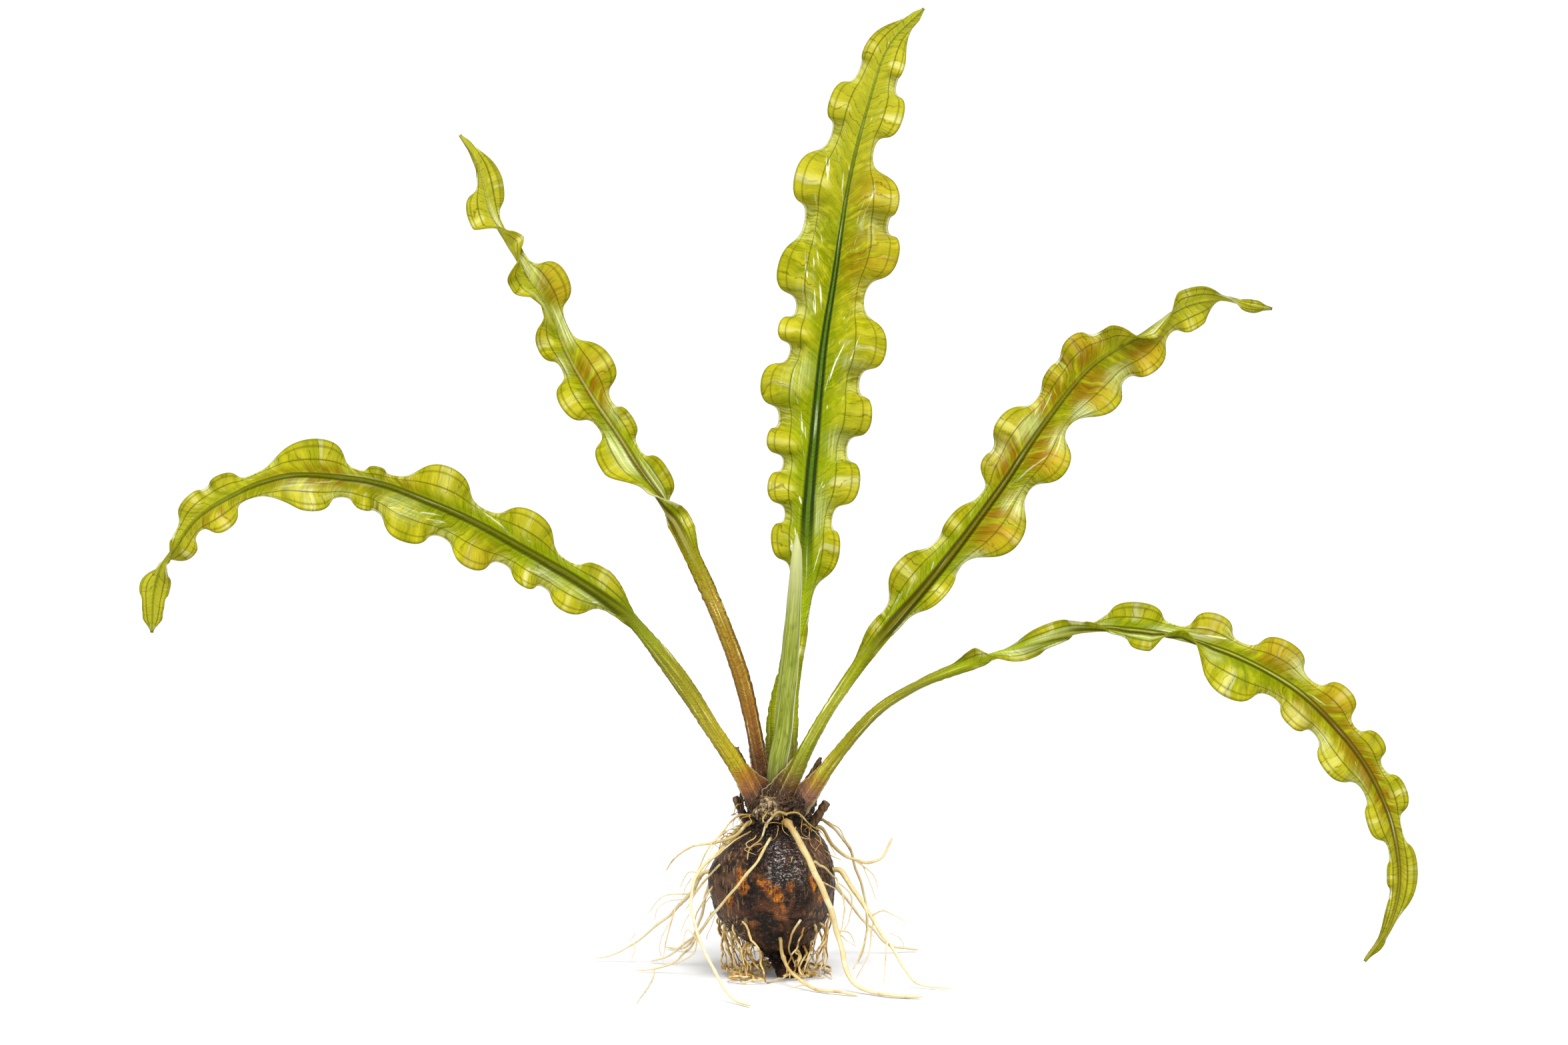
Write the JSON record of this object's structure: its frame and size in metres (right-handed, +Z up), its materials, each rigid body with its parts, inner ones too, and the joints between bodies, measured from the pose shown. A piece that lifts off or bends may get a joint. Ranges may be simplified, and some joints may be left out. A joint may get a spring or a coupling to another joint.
{
  "type": "aponogeton plant",
  "caption": "Uprooted aquarium plant with long ruffled leaves, a dark round bulb and splayed pale roots, standing free.",
  "frame": {"origin": "middle of the flat tip of the bulb, on the surface the plant stands on", "axes": "+X to the plant's right and +Y to its back as the picture shows it, +Z up"},
  "size_m": [0.2767, 0.1079, 0.2125],
  "materials": {
    "leaf": "thin translucent yellow-green leaf with amber patches, wet gloss",
    "young_leaf": "pale green rolled leaf, waxy",
    "bulb_skin": "dark brown fibrous bulb skin with wet gloss and rust patches",
    "root": "cream to tan root, slightly translucent",
    "papery": "dry brown papery scale and old stalk"
  },
  "bodies": {
    "root": {"bulb": "bulb_skin", "leaf_far_left": "leaf", "leaf_upper_left": "leaf", "leaf_centre": "leaf", "leaf_upper_right": "leaf", "leaf_far_right": "leaf", "leaf_young": "young_leaf", "sheath_left": "papery", "sheath_right": "papery", "old_stalk_left": "papery", "old_stalk_right": "papery", "root_front_right": "root", "root_tip_front": "root", "root_right_low": "root", "root_right_up": "root", "root_right_back": "root", "root_left_pale": "root", "root_left_front": "root", "root_left_far": "root", "root_left_orange": "root", "root_left_low": "root", "root_back_left": "root", "root_back_middle": "root", "root_back_right": "root", "root_back_low": "root", "rootlets_left": "root", "rootlets_right": "root", "rootlets_back": "root"}
  },
  "joints": []
}
